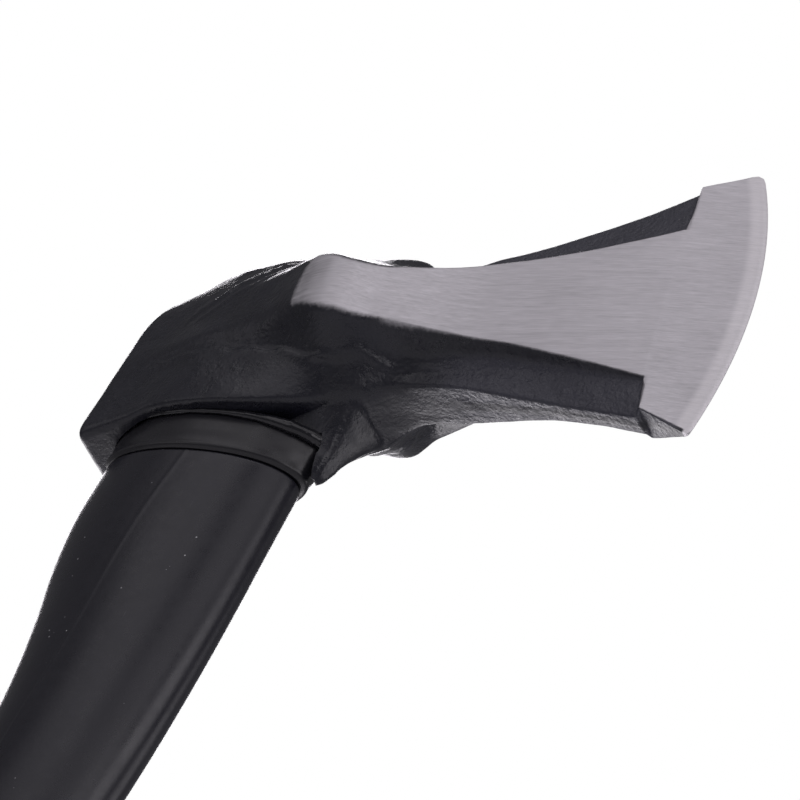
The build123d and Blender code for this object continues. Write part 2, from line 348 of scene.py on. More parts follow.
def head_rings():
    """Half rings (rings, points, 3) from the poll to the edge, in the head's axes."""
    runs = [np.arange(*station) for station in STATIONS]
    body_x = np.concatenate(runs + [[STEP_X]])
    body = half_loop(head_keys(body_x), rounding(body_x))
    rings = []
    for x, ring in zip(body_x, body):
        share = max(0.0, (POLL_BEND - x) / (POLL_BEND - POLL_S))
        rear = poll_edge(ring[:, 1])[:, 0] + POLL_ROUND
        xs = np.full(len(ring), x)
        if share > 0:
            xs = POLL_BEND + share * (rear - POLL_BEND)
        rings.append(np.column_stack([xs, ring[:, 0], ring[:, 1]]))

    last = body[-1]
    bit_x = np.array([STEP_X + STEP_RUN])
    first = half_loop(bit_keys(bit_x), rounding(np.array([STEP_X])) * STEP_CORNER)[0]
    for share in STEP_SHARES:
        x = STEP_X + STEP_RUN * share
        rise = first[:, 0] - last[:, 0]
        lift = np.where(rise > FLAT_RISE, ease(0.0, 1.0, share), share)
        ring = last + (first - last) * share
        ring[:, 0] = last[:, 0] + rise * lift
        rings.append(np.column_stack([np.full(len(ring), x), ring]))

    base_x = STEP_X + STEP_RUN
    low = first[:, 1].min()
    high = first[:, 1].max()
    base = np.column_stack([np.full(len(first), base_x), first[:, 1]])
    height_share = (first[:, 1] - low) / (high - low)
    ends = along(edge_path(), height_share)
    side = np.clip(first[:, 0] / ground_half(base[:, 0], base[:, 1]), 0.0, 1.0)
    reach = np.linalg.norm(ends - base, axis=1)
    bevel_share = 1 - BEVEL / reach
    shares = [bevel_share * s for s in np.linspace(0.0, 1.0, FACE_RINGS)[:-1]]
    shares += [bevel_share + (1 - bevel_share) * s for s in np.linspace(0.0, 1.0, BEVEL_RINGS)]
    for share in shares:
        flat = base + (ends - base) * share[:, None]
        half = ground_half(flat[:, 0], flat[:, 1]) * side
        rings.append(np.column_stack([flat[:, 0], half, flat[:, 1]]))
    return np.array(rings)


POLL_RINGS = 5
POLL_HALF_HEIGHT = 25.0


def poll_cap_rings(first):
    """Rings that round the poll's rear face over, before the first station."""
    rings = []
    middle = first[:, 2].min() * 0.5 + first[:, 2].max() * 0.5
    for k in range(POLL_RINGS, 0, -1):
        angle = k / POLL_RINGS * math.pi / 2
        inset = POLL_ROUND * (1 - math.cos(angle))
        ahead = POLL_ROUND * (1 - math.sin(angle))
        ring = first.copy()
        ring[:, 1] *= 1 - inset / first[:, 1].max()
        ring[:, 2] = middle + (ring[:, 2] - middle) * (1 - inset / POLL_HALF_HEIGHT)
        ring[:, 0] = poll_edge(ring[:, 2])[:, 0] + ahead
        rings.append(ring)
    return rings


BELT_X = 17.4  # the belt bared the rib from here forward ...
BELT_TURN_Z = 6.0  # ... and further forward above this height, by this slope
BELT_TURN = 0.5
BELT_LEAN_Z = -6.0  # the whole line leans forward going up, about this height
BELT_LEAN = 0.05
PAINT_LAP_LOW = 0.25  # paint laps this far over the bit's lower outline ...
PAINT_LAP_HIGH = 0.2  # ... its upper outline ...
PAINT_LAP_STEP = 0.4  # ... and the step
HONED_SHARE = 0.45  # part of the bevel that is bare all the way along the edge


def painted_depth(points):
    """How far each point lies within the bare ground steel, negative where it is painted."""
    x = points[:, 0]
    z = points[:, 2]
    in_rib = np.minimum(z - rib_low(x)[:, 1], rib_high(x)[:, 1] - z)
    turned = BELT_TURN * np.maximum(0.0, z - BELT_TURN_Z)
    left = x - BELT_X - turned - BELT_LEAN * (z - BELT_LEAN_Z)
    rib = np.minimum(in_rib, left)
    low = bit_low(x) + PAINT_LAP_LOW
    high = bit_high(x) - PAINT_LAP_HIGH
    in_bit = np.minimum(np.minimum(z - low, high - z), x - STEP_X - PAINT_LAP_STEP)
    honed = BEVEL * HONED_SHARE - edge_distance(x, z)
    bit = np.maximum(np.maximum(in_bit, in_rib), honed)
    return np.where(x < STEP_X, rib, bit)


def ring_faces(ring_count, around, closed=False):
    """Quads between neighbouring rings of points, and from the last to the first if closed."""
    faces = []
    for i in range(ring_count if closed else ring_count - 1):
        after = (i + 1) % ring_count * around
        for j in range(around):
            k = (j + 1) % around
            faces.append((i * around + j, i * around + k, after + k, after + j))
    return faces


END_STRIPS = 8


def head_mesh():
    """The forged head as one closed mesh in the head's axes, before its eye is cut."""
    half = head_rings()
    half = np.concatenate([np.array(poll_cap_rings(half[0])), half])
    count = half.shape[1]
    other = half[:, 1:-1][:, ::-1].copy()
    other[:, :, 1] *= -1
    rings = np.concatenate([half, other], axis=1)
    ring_count, around = rings.shape[:2]
    points = rings.reshape(-1, 3)
    faces = ring_faces(ring_count, around)
    extra = []

    def close_end(start, outward):
        """Strips straight across an end ring."""
        grid = {}
        for j in range(count):
            left = start + j
            right = start + (around - j) % around
            grid[j, 0] = left
            grid[j, END_STRIPS] = right
            for k in range(1, END_STRIPS):
                if j in (0, count - 1):
                    grid[j, k] = left
                    continue
                t = k / END_STRIPS
                grid[j, k] = len(points) + len(extra)
                extra.append(points[left] * (1 - t) + points[right] * t)
        for j in range(count - 1):
            for k in range(END_STRIPS):
                quad = [grid[j, k], grid[j + 1, k], grid[j + 1, k + 1], grid[j, k + 1]]
                quad = list(dict.fromkeys(quad))
                if len(quad) > 2:
                    faces.append(tuple(quad if outward else quad[::-1]))

    close_end(0, False)
    close_end((ring_count - 1) * around, True)
    points = np.concatenate([points, np.array(extra)])
    return points, faces


def mesh_object(name, points, faces):
    """A mesh object from points in millimetres."""
    mesh = bpy.data.meshes.new(name)
    mesh.from_pydata([tuple(p) for p in np.asarray(points) * MM], [], faces)
    mesh.validate()
    obj = bpy.data.objects.new(name, mesh)
    bpy.context.scene.collection.objects.link(obj)
    return obj


SAME_PLACE = 1e-7


def face_outward(obj):
    """Merges points in the same place and makes a closed mesh's faces point outwards."""
    work = bmesh.new()
    work.from_mesh(obj.data)
    bmesh.ops.remove_doubles(work, verts=work.verts, dist=SAME_PLACE)
    bmesh.ops.recalc_face_normals(work, faces=work.faces)
    if work.calc_volume(signed=True) < 0:
        bmesh.ops.reverse_faces(work, faces=work.faces)
    work.to_mesh(obj.data)
    work.free()


def boolean(obj, other, operation):
    """Joins or cuts obj with other, which is then removed."""
    modifier = obj.modifiers.new("cut", "BOOLEAN")
    modifier.operation = operation
    modifier.solver = "EXACT"
    modifier.object = other
    graph = bpy.context.evaluated_depsgraph_get()
    made = bpy.data.meshes.new_from_object(obj.evaluated_get(graph))
    obj.modifiers.clear()
    old = obj.data
    obj.data = made
    bpy.data.meshes.remove(old)
    bpy.data.objects.remove(other)


def loft_rings(name, rings):
    """A closed solid through rings of equal length, ends filled with one face each."""
    around = len(rings[0])
    points = np.concatenate(rings)
    faces = ring_faces(len(rings), around)
    faces.append(tuple(range(around))[::-1])
    faces.append(tuple(range(len(points) - around, len(points))))
    return mesh_object(name, points, faces)


OVAL_SIDES = 96


def ellipse_ring(z, half_x, half_y, centre_x=0.0):
    """A horizontal elliptical ring of points."""
    angle = turns(OVAL_SIDES)
    ring = np.zeros((OVAL_SIDES, 3))
    ring[:, 0] = centre_x + half_x * np.cos(angle)
    ring[:, 1] = half_y * np.sin(angle)
    ring[:, 2] = z
    return ring


COLLAR_LEAN = 2.6  # the collar's front leans this far forward over its height
# Chin tongue in front of the collar, in the frame's axes above the collar's lower
# edge: height, front x, half-width, corner radius.
CHIN = (
    (1.0, 35.8, 1.6, 1.2), (2.5, 36.8, 2.6, 1.8), (5.0, 37.5, 3.6, 2.4), (9.2, 38.7, 4.9, 3.0),
    (13.3, 39.8, 6.3, 3.4), (17.0, 40.8, 8.0, 3.6), (22.6, 42.3, 10.3, 3.6),
    (30.0, 43.6, 10.8, 3.6),
)
CHIN_REAR = 14.0  # the tongue reaches back into the head as far as this
CHIN_RINGS = 34
CHIN_CORNER_STEPS = 8
# Where the chin blends into the head: x from and to, height from and to, half-width.
BLEND_X = (35.0, 54.0)
BLEND_HEIGHT = (8.0, 36.0)
BLEND_HALF = 14.0
BLEND_PASSES = 14
SEAT_GAP = 0.6  # room round the collar in its seat
SEAT_FRONT = 1.2  # the seat lies this far forward of the collar's middle
SEAT_LONGER = 1.0  # extra half-length of the seat
SEAT_BELOW = 8.0  # the cutter starts this far below the collar
# The eye, from below the seat to above the head: height above the seat, half-length
# and half-width.
EYE_LOW = (-2.0, 27.0, 11.0)
EYE_HIGH = (62.0, 28.6, 12.6)


def rounded_front_ring(z, rear, front, half, radius):
    """A tongue section: square at the rear and rounded at the two front corners."""
    points = [(rear, -half)]
    quarter = [k / CHIN_CORNER_STEPS * math.pi / 2 for k in range(CHIN_CORNER_STEPS + 1)]
    for side, begin in ((-1, -math.pi / 2), (1, 0.0)):
        for turn in quarter:
            x = front - radius + radius * math.cos(begin + turn)
            y = side * (half - radius) + radius * math.sin(begin + turn)
            points.append((x, y))
    points.append((rear, half))
    return np.array([(x, y, z) for x, y in points])


def soften(obj):
    """Blends the chin into the beam and the cheeks."""
    work = bmesh.new()
    work.from_mesh(obj.data)
    chosen = []
    for vertex in work.verts:
        place = obj.matrix_world @ vertex.co / MM
        along_x = BLEND_X[0] < place.x < BLEND_X[1]
        up = BLEND_HEIGHT[0] < place.z - COLLAR_Z < BLEND_HEIGHT[1]
        if along_x and up and abs(place.y) < BLEND_HALF:
            chosen.append(vertex)
    axes = {"use_axis_x": True, "use_axis_y": True, "use_axis_z": True}
    for _ in range(BLEND_PASSES):
        bmesh.ops.smooth_vert(work, verts=chosen, factor=0.5, **axes)
    work.to_mesh(obj.data)
    work.free()


def build_head():
    """The forged head with its chin, collar seat and eye."""
    points, faces = head_mesh()
    head = mesh_object("forged_head", points, faces)
    head.matrix_world = HEAD_MATRIX
    face_outward(head)

    chin_rows = smooth(CHIN)
    rings = []
    for height in np.linspace(CHIN[0][0], CHIN[-1][0], CHIN_RINGS):
        front, half, radius = chin_rows(height)
        rings.append(rounded_front_ring(COLLAR_Z + height, CHIN_REAR, front, half, radius))
    chin = loft_rings("chin", rings)
    face_outward(chin)
    boolean(head, chin, "UNION")

    soften(head)
    half_x = COLLAR_A + SEAT_GAP + SEAT_LONGER
    half_y = COLLAR_B + SEAT_GAP
    lean = 0.5 * COLLAR_LEAN
    seat = loft_rings("seat", [
        ellipse_ring(COLLAR_Z - SEAT_BELOW, half_x, half_y, SEAT_FRONT),
        ellipse_ring(COLLAR_Z, half_x, half_y, SEAT_FRONT),
        ellipse_ring(SEAT_Z, half_x + lean, half_y, SEAT_FRONT + lean),
    ])
    face_outward(seat)
    boolean(head, seat, "DIFFERENCE")
    eye_rows = (EYE_LOW, EYE_HIGH)
    eye = loft_rings("eye", [ellipse_ring(SEAT_Z + rise, a, b) for rise, a, b in eye_rows])
    face_outward(eye)
    boolean(head, eye, "DIFFERENCE")
    return head


head = build_head()


def set_attribute(obj, name, values):
    """A float for each vertex."""
    layer = obj.data.attributes.new(name, "FLOAT", "POINT")
    layer.data.foreach_set("value", np.asarray(values, np.float32))


def read_vectors(items, name):
    """One vector of each of a mesh's items."""
    flat = np.zeros(len(items) * 3)
    items.foreach_get(name, flat)
    return flat.reshape(-1, 3)


def noise_at(points, scale, seed):
    """Smooth noise of points, about -1 to 1."""
    shift = Vector((seed * 7.3, seed * 3.1, seed * 5.7))
    return np.array([noise.noise(Vector(p) / scale + shift) for p in points])


def flank_share(points):
    """1 in the recessed flanks beside the rib, 0 elsewhere."""
    x, y, z = points.T
    below = 1 - ease(-1.0, 1.5, z - crease(x)[:, 1])
    above = ease(-1.5, 1.0, z - valley_high(x)[:, 1])
    return ease(46.0, 70.0, x) * np.maximum(below, above) * ease(0.8, 2.2, np.abs(y))


# Folds of the forging's skin along the shoulder and the lower valley: from x, z to x, z,
# then height and width.
FOLDS = (
    (-24.0, 6.0, 6.0, 20.0, 0.55, 1.2),
    (-20.0, 3.0, 9.0, 16.0, 0.30, 1.1),
    (-14.0, 21.5, 14.0, 21.8, 0.30, 1.2),
    (-30.0, -9.8, 26.0, -19.5, 0.60, 1.0),
    (24.0, -19.8, 76.0, -18.6, 0.45, 0.9),
)
VALLEY_WIDTH = 5.0


def forge_marks(obj, points):
    """Uneven skin of the forging under its paint: broad dents, folds, and wrinkled valleys."""
    painted = 1 - ease(-0.6, 0.0, painted_depth(points))
    x, y, z = points.T
    # The middle of the head, about the eye and the poll, stays plain.
    outside = ease(9.0, 10.5, np.abs(y)) + ease(30.0, 40.0, x)
    painted *= np.clip(outside, 0, 1)
    dents = 0.20 * noise_at(points, 13.0, 1) + 0.10 * noise_at(points, 6.0, 2)
    flow = points * np.array([0.35, 1.0, 1.0])
    wrinkles = 0.10 * np.abs(noise_at(flow, 2.4, 3)) + 0.05 * noise_at(flow, 1.3, 4)
    low = np.exp(-((z - crease(x)[:, 1]) / VALLEY_WIDTH) ** 2)
    high = np.exp(-((z - valley_high(x)[:, 1]) / VALLEY_WIDTH) ** 2)
    fold = np.zeros(len(points))
    for from_x, from_z, to_x, to_z, height, width in FOLDS:
        run = np.clip((x - from_x) / (to_x - from_x), 0.0, 1.0)
        bow = 1.1 * np.sin(run * math.pi) + 0.5 * np.sin(x * 0.55)
        line = from_z + (to_z - from_z) * run + bow
        ends = ease(from_x - 5, from_x + 3, x) * (1 - ease(to_x - 3, to_x + 5, x))
        fold += height * ends * np.exp(-((z - line) / width) ** 2)
    shift = painted * (dents + fold + wrinkles * np.maximum(low, high))
    normals = read_vectors(obj.data.vertex_normals, "vector")
    moved = points + normals * shift[:, None]
    obj.data.vertices.foreach_set("co", (moved * MM).ravel())
    obj.data.update()


head_points = read_vectors(head.data.vertices, "co") / MM
set_attribute(head, "steel", painted_depth(head_points))
from_edge = edge_distance(head_points[:, 0], head_points[:, 2])
set_attribute(head, "edge", np.clip(from_edge, 0, 200))
set_attribute(head, "flank", flank_share(head_points))
forge_marks(head, head_points)
head.data.transform(HEAD_MATRIX)
head.matrix_world = Matrix.Identity(4)

HEAD_SHARP = 50
PIECE_SHARP = 40


def shade(obj, angle):
    """Smooth shading broken at edges sharper than angle, in degrees."""
    for polygon in obj.data.polygons:
        polygon.use_smooth = True
    obj.data.set_sharp_from_angle(angle=math.radians(angle))


shade(head, HEAD_SHARP)

# --- materials


class Look:
    """A node material with a few short ways to add nodes."""

    def __init__(self, name):
        self.material = bpy.data.materials.new(name)
        self.material.use_nodes = True
        self.tree = self.material.node_tree
        self.tree.nodes.clear()
        self.shader = self.add("BsdfPrincipled")
        surface = self.add("OutputMaterial").inputs["Surface"]
        self.tree.links.new(self.shader.outputs[0], surface)
        self.where = self.add("TexCoord").outputs["Object"]

    def add(self, kind):
        return self.tree.nodes.new("ShaderNode" + kind)

    def put(self, socket, value):
        """Links a socket to another, or gives it a value."""
        if isinstance(value, bpy.types.NodeSocket):
            self.tree.links.new(value, socket)
        else:
            socket.default_value = value

    def set(self, name, value):
        """Sets one input of the surface shader."""
        self.put(self.shader.inputs[name], value)

    def turn_to_head(self):
        """Textures follow the head's own axes from here on."""
        node = self.add("Mapping")
        node.vector_type = "TEXTURE"
        self.put(node.inputs["Vector"], self.where)
        node.inputs["Location"].default_value = HEAD_ORIGIN
        node.inputs["Rotation"].default_value = (0, -HEAD_TILT, 0)
        self.where = node.outputs[0]

    def math(self, operation, first, second=0.0, third=0.0):
        node = self.add("Math")
        node.operation = operation
        self.put(node.inputs[0], first)
        self.put(node.inputs[1], second)
        self.put(node.inputs[2], third)
        return node.outputs[0]

    def about_half(self, value, amount, base):
        """base, plus amount times how far value is above a half."""
        away = self.math("SUBTRACT", value, 0.5)
        return self.math("MULTIPLY_ADD", away, amount, base)

    def invert(self, share):
        return self.math("SUBTRACT", 1.0, share)

    def stretch(self, scale):
        """Texture places scaled along each axis."""
        node = self.add("Mapping")
        self.put(node.inputs["Vector"], self.where)
        node.inputs["Scale"].default_value = scale
        return node.outputs[0]

    def noise(self, scale, detail=3.0, rough=0.5, vector=None):
        node = self.add("TexNoise")
        self.put(node.inputs["Vector"], self.where if vector is None else vector)
        node.inputs["Scale"].default_value = scale
        node.inputs["Detail"].default_value = detail
        node.inputs["Roughness"].default_value = rough
        return node.outputs["Fac"]

    def cells(self, scale):
        """Distance from the middle of the nearest of many scattered cells."""
        node = self.add("TexVoronoi")
        self.put(node.inputs["Vector"], self.where)
        node.inputs["Scale"].default_value = scale
        return node.outputs["Distance"]

    def attribute(self, name):
        node = self.add("Attribute")
        node.attribute_name = name
        return node.outputs["Fac"]

    def ramp(self, value, low, high, to_low=0.0, to_high=1.0):
        """to_low where value is low, to_high where it is high, smooth between."""
        node = self.add("MapRange")
        node.interpolation_type = "SMOOTHSTEP"
        self.put(node.inputs["Value"], value)
        self.put(node.inputs["From Min"], low)
        self.put(node.inputs["From Max"], high)
        self.put(node.inputs["To Min"], to_low)
        self.put(node.inputs["To Max"], to_high)
        return node.outputs["Result"]

    def blend(self, share, first, second):
        """A mix of two colours: sockets 6, 7 and 2 are the mix node's colour ones."""
        node = self.add("Mix")
        node.data_type = "RGBA"
        self.put(node.inputs["Factor"], share)
        self.put(node.inputs[6], first)
        self.put(node.inputs[7], second)
        return node.outputs[2]

    def pick(self, share, first, second):
        """A mix of two numbers."""
        node = self.add("Mix")
        self.put(node.inputs["Factor"], share)
        self.put(node.inputs[2], first)
        self.put(node.inputs[3], second)
        return node.outputs[0]

    def bump(self, height, strength, distance, normal=None):
        node = self.add("Bump")
        self.put(node.inputs["Height"], height)
        self.put(node.inputs["Strength"], strength)
        self.put(node.inputs["Distance"], distance)
        if normal is not None:
            self.put(node.inputs["Normal"], normal)
        return node.outputs[0]


STEEL_DARK = (0.40, 0.39, 0.408, 1)
STEEL_LIGHT = (0.80, 0.778, 0.808, 1)
# Honed steel at the edge, lightened further with a painted highlight:
STEEL_HONED_HIGHLIGHT = (1.0, 0.97, 0.98, 1)
RUST = (0.12, 0.09, 0.07, 1)
PAINT_DARK = (0.0065, 0.0068, 0.0105, 1)
PAINT_LIGHT = (0.0165, 0.0170, 0.0265, 1)
# Painted light: a lighter paint for the recessed flanks, where the front light falls on them.
PAINT_FLANK_LIT = (0.052, 0.052, 0.070, 1)


def head_look():
    """Black sprayed paint over the forging, ground steel on the wedge faces."""
    look = Look("forged_head")
    look.turn_to_head()
    depth = look.attribute("steel")
    edge = look.attribute("edge")
    frays = look.noise(700, 4, 0.7)
    broad = look.noise(90, 2, 0.5)
    fray = look.math("MULTIPLY_ADD", frays, 1.6, -0.8)
    fray = look.about_half(broad, 2.0, fray)
    near_wing = look.ramp(edge, 70, 105, 0.25, 1.0)
    depth = look.math("MULTIPLY_ADD", fray, near_wing, depth)
    softness = look.ramp(edge, 62, 112, 1.0, 3.2)
    steel = look.ramp(look.math("DIVIDE", depth, softness), -0.25, 0.35)

    # The belt's scratches run along the blade, coarse ones and fine ones.
    grain = look.noise(1.0, 3, 0.6, look.stretch((16, 300, 1000)))
    fine = look.noise(1.0, 2, 0.6, look.stretch((70, 1200, 4200)))
    tone = look.about_half(grain, 0.95, 0.5)
    tone = look.about_half(fine, 0.70, tone)
    tone = look.about_half(look.noise(28, 3, 0.5), 0.30, tone)
    pits = look.ramp(look.cells(150), 0.03, 0.10)
    rare = look.ramp(look.noise(48, 2, 0.5), 0.655, 0.69)
    sound = look.invert(look.math("MULTIPLY", look.invert(pits), rare))
    bare = look.blend(tone, STEEL_DARK, STEEL_LIGHT)
    bare = look.blend(sound, RUST, bare)
    # The honed bevel: brighter steel, partly its own honed finish and partly a painted highlight
    # for the light that the convex edge catches.
    honed = look.ramp(edge, 5.2, 3.0)
    bare = look.blend(look.math("MULTIPLY", honed, 0.32), bare, STEEL_HONED_HIGHLIGHT)

    paint = look.blend(look.noise(60, 4, 0.6), PAINT_DARK, PAINT_LIGHT)
    # Painted light: the recessed flanks are given lighter paint, for the front light falling on
    # them.
    flank_lit = look.ramp(look.attribute("flank"), 0.0, 1.0, 0.0, 0.75)
    paint = look.blend(flank_lit, paint, PAINT_FLANK_LIT)
    look.set("Base Color", look.blend(steel, paint, bare))
    look.set("Metallic", steel)
    paint_rough = look.ramp(look.noise(260, 3, 0.6), 0.3, 0.7, 0.24, 0.38)
    steel_rough = look.ramp(grain, 0.3, 0.7, 0.50, 0.62)
    look.set("Roughness", look.pick(steel, paint_rough, steel_rough))

    pebble = look.noise(900, 3, 0.55)
    orange = look.noise(330, 2, 0.5)
    lumps = look.noise(110, 2, 0.5)
    paint_height = look.math("MULTIPLY_ADD", orange, 0.9, pebble)
    paint_height = look.math("MULTIPLY_ADD", lumps, 1.8, paint_height)
    steel_height = look.math("MULTIPLY_ADD", fine, 0.6, grain)
    coarse = look.ramp(look.attribute("flank"), 0.0, 1.0, 0.42, 1.0)
    paint_share = look.math("MULTIPLY", look.invert(steel), coarse)
    painted = look.bump(paint_height, paint_share, 0.00042)
    brushed = look.bump(steel_height, look.math("MULTIPLY", steel, 0.45), 0.00006, painted)
    look.set("Normal", brushed)
    return look.material


head.data.materials.append(head_look())
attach(head, "root")
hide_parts("maul_head")


# --- handle pieces
AROUND = 360
END_RINGS = 5


def oval_rings(rows, step, relief=None):
    """Oval rings up the handle through rows of height, centre x, half-length and half-width.

    relief(angle, height) gives how far the surface stands proud, in millimetres.
    """
    form = smooth(rows)
    count = max(2, int(round((rows[-1][0] - rows[0][0]) / step)) + 1)
    angle = turns(AROUND)
    rings = []
    for height in np.linspace(rows[0][0], rows[-1][0], count):
        centre, half_x, half_y = form(height)
        proud = relief(angle, height) if relief else 0.0
        x = centre + (half_x + proud) * np.cos(angle)
        y = (half_y + proud) * np.sin(angle)
        rings.append(np.column_stack([x, y, np.full(AROUND, height)]))
    return rings


def inset_rings(ring, rise, inset):
    """Rings that round an end over, from a full ring to one inset and raised by rise."""
    made = []
    centre = ring.mean(axis=0)
    size = np.abs(ring - centre).max(axis=0)
    for k in range(1, END_RINGS + 1):
        turn = k / END_RINGS * math.pi / 2
        shrink = inset * (1 - math.cos(turn))
        rounded = ring.copy()
        rounded[:, 0] = centre[0] + (ring[:, 0] - centre[0]) * (1 - shrink / size[0])
        rounded[:, 1] = centre[1] + (ring[:, 1] - centre[1]) * (1 - shrink / size[1])
        rounded[:, 2] += rise * math.sin(turn)
        made.append(rounded)
    return made


def rounded_solid(name, rings, low_round, high_round):
    """A closed solid through rings, its two ends rounded over."""
    low_end = inset_rings(rings[0], -low_round, low_round)[::-1]
    high_end = inset_rings(rings[-1], high_round, high_round)
    solid = loft_rings(name, low_end + rings + high_end)
    face_outward(solid)
    return solid


def bump_at(angle, place, width):
    """A smooth ridge about one angle, 1 at its middle."""
    away = np.angle(np.exp(1j * (angle - place)))
    return np.exp(-(away / width) ** 2)


SEAM_ANGLE = math.radians(-87)  # the parting line of the jacket's mould, at its top
SEAM_TURN = math.radians(0.24)  # how far it strays for each millimetre down ...
SEAM_RUN = 90.0  # ... as far down as this
SEAM_WIDTH = 0.022  # in radians, like the hollow's
SEAM_HEIGHT = 0.09
HOLLOW_WIDTH = 0.20
HOLLOW_DEPTH = 0.04
# Height, centre x, half-length and half-width, in this table and those that follow.
JACKET_ROWS = (
    (238.5, 0.0, 18.5, 14.5), (340.0, 0.0, 18.6, 14.4), (460.0, 0.5, 19.2, 14.2),
    (570.0, 4.1, 21.9, 13.6), (COLLAR_Z - 77, 6.3, 25.2, 13.0),
    (COLLAR_Z - 55, 4.3, 27.7, 12.9), (COLLAR_Z - 38, 2.0, 29.9, 12.8),
    (COLLAR_Z - 22, 0.4, 31.1, 12.7), (COLLAR_Z - 1.2, 0.0, 31.0, 12.6),
)


def jacket_relief(angle, height):
    """The seams on both sides, and the slight hollows that shrinkage leaves beside them."""
    place = SEAM_ANGLE - SEAM_TURN * min(SEAM_RUN, COLLAR_Z - height)
    seams = bump_at(angle, place, SEAM_WIDTH) + bump_at(angle, -place, SEAM_WIDTH)
    hollows = bump_at(angle, place, HOLLOW_WIDTH) + bump_at(angle, -place, HOLLOW_WIDTH)
    sway = 0.05 * math.sin(height * 0.045) * np.sin(angle * 2 + height * 0.01)
    return SEAM_HEIGHT * seams - HOLLOW_DEPTH * hollows + sway


def build_jacket():
    """The moulded jacket, rounded at its top edge beneath the collar."""
    rings = oval_rings(JACKET_ROWS, step=2.2, relief=jacket_relief)
    return rounded_solid("handle_jacket_visual", rings, low_round=1.0, high_round=1.1)


def build_collar():
    """The collar: a fine groove at its foot, and a front that leans forward to its top."""
    tall = SEAT_Z - COLLAR_Z
    # Height above its foot, and how far inside the full oval the surface lies.
    profile = (
        (0.1, 1.0), (0.5, 0.45), (0.9, 0.12), (1.5, 0.05),
        (2.2, 0.16), (6.5, 0.06), (10.5, 0.20), (tall - 0.9, 0.50),
    )
    rows = []
    for rise, inset in profile:
        lean = 0.5 * COLLAR_LEAN * rise / tall
        rows.append((COLLAR_Z + rise, lean, COLLAR_A + lean - inset, COLLAR_B - inset))

    def uneven(angle, height):
        return 0.07 * np.sin(angle * 3 + height * 0.3) + 0.05 * np.sin(angle * 7 + 1.3)

    rings = oval_rings(rows, step=0.32, relief=uneven)
    return rounded_solid("collar_visual", rings, low_round=0.1, high_round=0.85)


GLUE_PLACES = 300
GLUE_SIDES = 14
GLUE_FRONT = -0.5  # angle at which the bead is thickest
GLUE_FRONT_WIDTH = 0.55  # radians over which it thins to either side
GLUE_FLATTEN = 0.85


def build_glue():
    """Adhesive squeezed out above the collar: an uneven bead, thick in front."""
    lean = 0.5 * COLLAR_LEAN
    points = []
    for place in turns(GLUE_PLACES):
        away = math.atan2(math.sin(place - GLUE_FRONT), math.cos(place - GLUE_FRONT))
        front = math.exp(-(away / GLUE_FRONT_WIDTH) ** 2)
        lump = noise.noise(Vector((math.cos(place) * 6, math.sin(place) * 6, 1.7)))
        fine = noise.noise(Vector((math.cos(place) * 19, math.sin(place) * 19, 4.2)))
        size = 0.75 + 0.28 * lump + 0.16 * fine + 1.35 * front
        middle = np.array([
            lean + (COLLAR_A + lean + 0.15 + 0.3 * front) * math.cos(place),
            (COLLAR_B + 0.15 + 0.3 * front) * math.sin(place),
            SEAT_Z - 0.65 - 0.9 * front,
        ])
        outward = np.array([COLLAR_B * math.cos(place), COLLAR_A * math.sin(place), 0.0])
        outward /= np.linalg.norm(outward)
        for k in range(GLUE_SIDES):
            turn = k / GLUE_SIDES * 2 * math.pi
            sideways = outward * size * GLUE_FLATTEN * math.cos(turn)
            points.append(middle + sideways + np.array([0, 0, size * math.sin(turn)]))
    faces = ring_faces(GLUE_PLACES, GLUE_SIDES, closed=True)
    glue = mesh_object("glue_bead_visual", np.array(points), faces)
    face_outward(glue)
    return glue


GRIP_ROWS = (
    (31.5, -0.5, 21.4, 16.1), (70.0, 0.0, 19.4, 15.3), (130.0, 0.0, 19.8, 15.6),
    (190.0, 0.0, 18.8, 15.0), (238.5, 0.0, 18.6, 14.6),
)
GROOVES = 12
GROOVE_TURN = 0.36  # radians of the pattern for each millimetre up
GROOVE_WIDTH = 0.30
GROOVE_DEPTH = 0.55


def grip_relief(angle, height):
    """Crossed grooves between two plain bands."""
    within = float(ease(42.0, 46.0, height) * (1 - ease(222.0, 226.0, height)))
    first = np.abs(np.sin(angle * GROOVES + height * GROOVE_TURN))
    second = np.abs(np.sin(angle * GROOVES - height * GROOVE_TURN))
    nearest = np.minimum(first, second)
    return -GROOVE_DEPTH * within * (1 - ease(0.0, GROOVE_WIDTH, nearest))


def build_grip():
    """The rubber sleeve with its crossed grooves."""
    rings = oval_rings(GRIP_ROWS, step=0.85, relief=grip_relief)
    return rounded_solid("grip_visual", rings, low_round=1.2, high_round=1.4)


CAP_ROWS = (
    (2.2, -1.0, 23.2, 16.7), (7.0, -1.0, 23.9, 17.4), (12.0, -1.0, 24.0, 17.5),
    (20.0, -0.8, 23.1, 17.0), (29.0, -0.5, 21.6, 16.3),
)
HOLE_Z = 15.0
HOLE_RADIUS = 4.5
HOLE_SIDES = 64
# The hang hole widens towards both faces: y and radius, mirrored for the other half.
HOLE_HALF = ((20.0, 8.0), (16.4, 5.6), (15.2, HOLE_RADIUS))


def build_cap():
    """The flared cap with its countersunk hang hole."""
    rings = oval_rings(CAP_ROWS, step=0.6)
    cap = rounded_solid("cap_visual", rings, low_round=2.2, high_round=0.8)
    rows = [(-y, radius) for y, radius in HOLE_HALF] + list(HOLE_HALF[::-1])
    turn = turns(HOLE_SIDES)
    rings = []
    for y, radius in rows:
        x = radius * np.cos(turn)
        z = HOLE_Z + radius * np.sin(turn)
        rings.append(np.column_stack([x, np.full(HOLE_SIDES, y), z]))
    cutter = loft_rings("cap_hole", rings)
    face_outward(cutter)
    boolean(cap, cutter, "DIFFERENCE")
    return cap


SPECK_GREY = (0.55, 0.55, 0.57, 1)
SCUFF_GREY = (0.3, 0.3, 0.32, 1)
FIBRE_DARK = (0.22, 0.19, 0.08, 1)
FIBRE_LIGHT = (0.60, 0.55, 0.34, 1)


